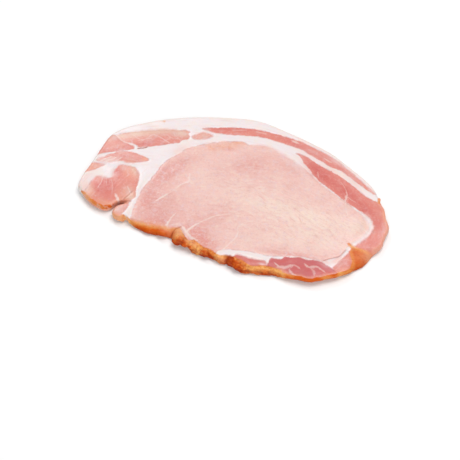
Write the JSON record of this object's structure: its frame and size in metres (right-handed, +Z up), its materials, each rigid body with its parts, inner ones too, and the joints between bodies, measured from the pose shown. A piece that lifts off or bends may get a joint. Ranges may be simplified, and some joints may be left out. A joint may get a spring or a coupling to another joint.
{
  "type": "raw bacon rasher",
  "caption": "Thick-cut raw back bacon rasher: broad pale lean eye with a fat edge, a marbled tail and a browned front rim, lying flat.",
  "frame": {"origin": "centre of the bounding box at the height of the underside", "axes": "+X along the rasher from its tail to its broad end, +Y towards the fat back, +Z up through the cut face"},
  "size_m": [0.1654, 0.1034, 0.0051],
  "materials": {
    "meat": "moist raw meat and fat"
  },
  "bodies": {
    "root": {"rasher": "meat"}
  },
  "joints": []
}
